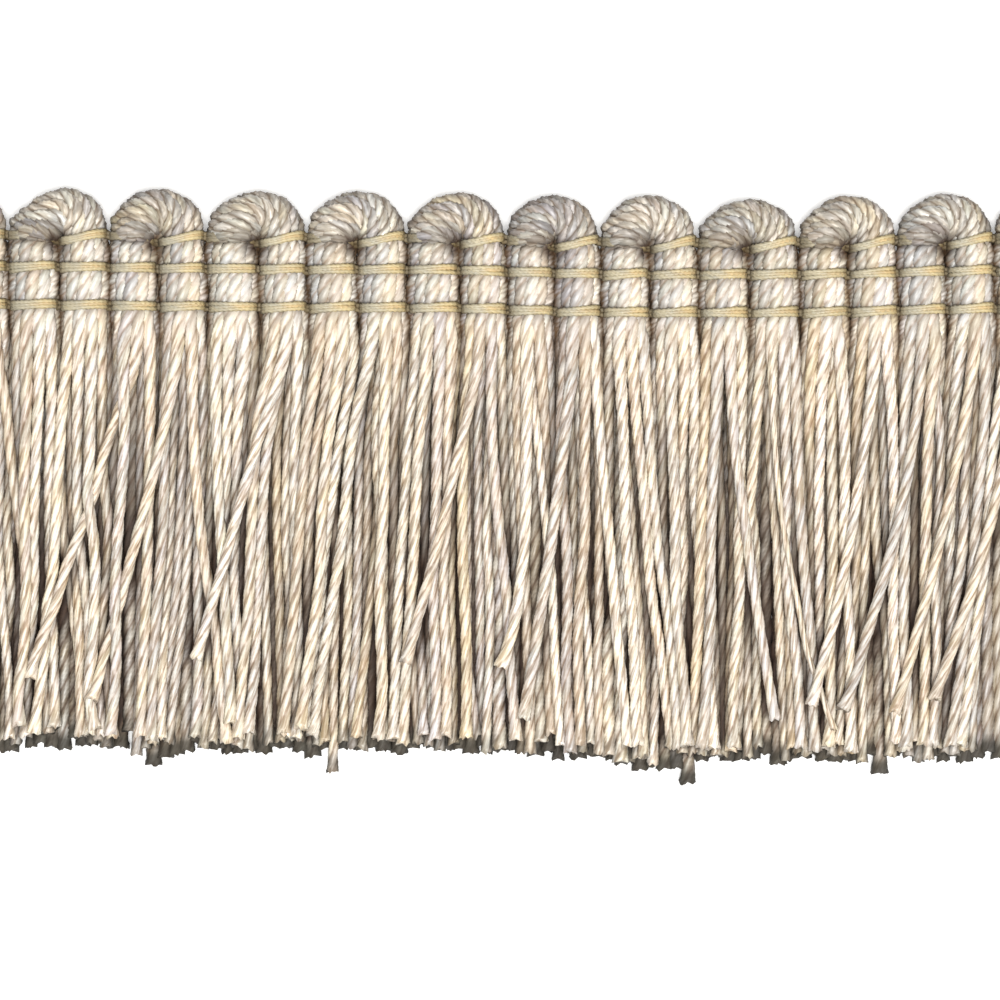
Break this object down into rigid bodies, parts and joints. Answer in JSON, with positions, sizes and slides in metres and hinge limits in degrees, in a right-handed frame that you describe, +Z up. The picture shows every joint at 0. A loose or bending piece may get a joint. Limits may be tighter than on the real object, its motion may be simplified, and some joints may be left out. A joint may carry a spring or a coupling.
{
  "type": "brush fringe trim",
  "caption": "Cut length of brush fringe trim: a heading of looped yarn bundles tied by rows of binding thread, with cut yarns hanging below as a brush.",
  "frame": {"origin": "middle of the surface the trim lies on, under the centre of its bounding box", "axes": "+X along the trim, +Y from the cut brush to the looped heading, +Z up out of its front"},
  "size_m": [0.1084, 0.0524, 0.0042],
  "materials": {
    "yarn": "shiny twisted rayon yarn, cream to beige with grey-lilac yarns among them",
    "thread": "fine straw-yellow binding thread, slightly shiny"
  },
  "bodies": {
    "root": {"loop_01": "yarn", "loop_02": "yarn", "loop_03": "yarn", "loop_04": "yarn", "loop_05": "yarn", "loop_06": "yarn", "loop_07": "yarn", "loop_08": "yarn", "loop_09": "yarn", "loop_10": "yarn", "loop_11": "yarn", "loop_12": "yarn", "binding_bottom": "thread", "binding_middle": "thread", "binding_top": "thread"}
  },
  "joints": []
}
